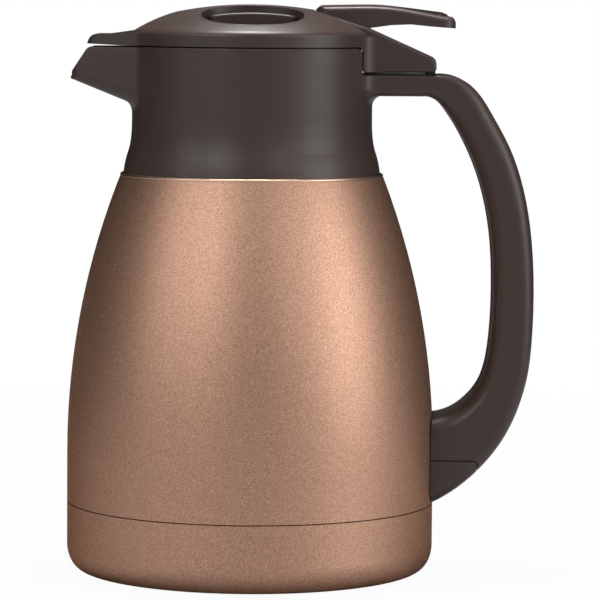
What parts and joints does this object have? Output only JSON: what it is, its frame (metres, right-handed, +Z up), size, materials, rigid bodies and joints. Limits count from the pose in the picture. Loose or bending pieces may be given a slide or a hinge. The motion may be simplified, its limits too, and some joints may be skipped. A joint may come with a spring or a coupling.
{
  "type": "thermal carafe",
  "caption": "Vacuum-insulated steel carafe with a side handle, pouring spout, hinged flip lid, thumb lever valve and pinch release buttons.",
  "frame": {"origin": "on the body's axis, at the underside of the foot pad", "axes": "+Z up the body's axis, +X from the spout towards the handle, +Y across from the visible side to the far side"},
  "size_m": [0.1647, 0.13, 0.2006],
  "materials": {
    "body_paint": "satin metallic copper-brown lacquer with fine flake",
    "steel": "brushed stainless steel",
    "fittings_steel": "bright stainless fasteners, pins and springs",
    "foil": "thin bright foil",
    "dark_plastic": "satin dark brown moulded plastic",
    "pad": "soft-touch dark insert",
    "black_plastic": "plain black moulded plastic",
    "silicone": "translucent grey silicone"
  },
  "bodies": {
    "carafe": {"outer_shell": "body_paint", "base_shell": "body_paint", "inner_vessel": "steel", "vessel_bottom": "steel", "heat_shield": "foil", "vacuum_base": "steel", "vacuum_seal": "fittings_steel", "getter": "fittings_steel", "foot_pad": "black_plastic", "retaining_ring": "black_plastic", "collar_gasket": "silicone", "collar_handle": "dark_plastic", "grip_strip": "pad", "handle_foot": "dark_plastic", "handle_bracket": "fittings_steel", "handle_screw": "fittings_steel"},
    "lid": {"lid_cover": "dark_plastic", "lid_base": "black_plastic", "lid_screws": "fittings_steel", "stopper_plug": "black_plastic", "stopper_gasket": "silicone", "hinge_pin": "fittings_steel", "lever_pin": "fittings_steel", "stem_seal": "silicone", "valve_spring": "fittings_steel", "button_spring_left": "fittings_steel", "button_spring_right": "fittings_steel"},
    "lever": {"pour_lever": "dark_plastic", "lever_pad": "pad"},
    "valve": {"valve_stem": "black_plastic", "valve_gasket": "silicone", "stem_clip": "black_plastic"},
    "button_left": {"release_button_left": "dark_plastic"},
    "button_right": {"release_button_right": "dark_plastic"}
  },
  "joints": [
    {"name": "lid_hinge", "type": "hinge", "parent": "carafe", "child": "lid", "pos_m": [0.0617, 0, 0.1798], "axis": [0, 1, 0], "range_deg": [0, 60]},
    {"name": "lever_press", "type": "hinge", "parent": "lid", "child": "lever", "pos_m": [0.033, 0, 0.1905], "axis": [0, 1, 0], "range_deg": [0, 5]},
    {"name": "valve_lift", "type": "slide", "parent": "lid", "child": "valve", "axis": [0, 0, 1], "range_m": [0, 0.0028], "stiffness_N_per_m": 2, "springref_m": -0.004, "deforming": ["valve_spring"]},
    {"name": "release_left", "type": "slide", "parent": "lid", "child": "button_left", "axis": [0, 1, 0], "range_m": [0, 0.0016], "stiffness_N_per_m": 400, "springref_m": -0.002, "deforming": ["button_spring_left"]},
    {"name": "release_right", "type": "slide", "parent": "lid", "child": "button_right", "axis": [0, -1, 0], "range_m": [0, 0.0016], "stiffness_N_per_m": 400, "springref_m": -0.002, "deforming": ["button_spring_right"]}
  ],
  "couplings": [
    {"joint": "lever_press", "follows": "valve_lift", "rad_per_m": 30.3}
  ]
}
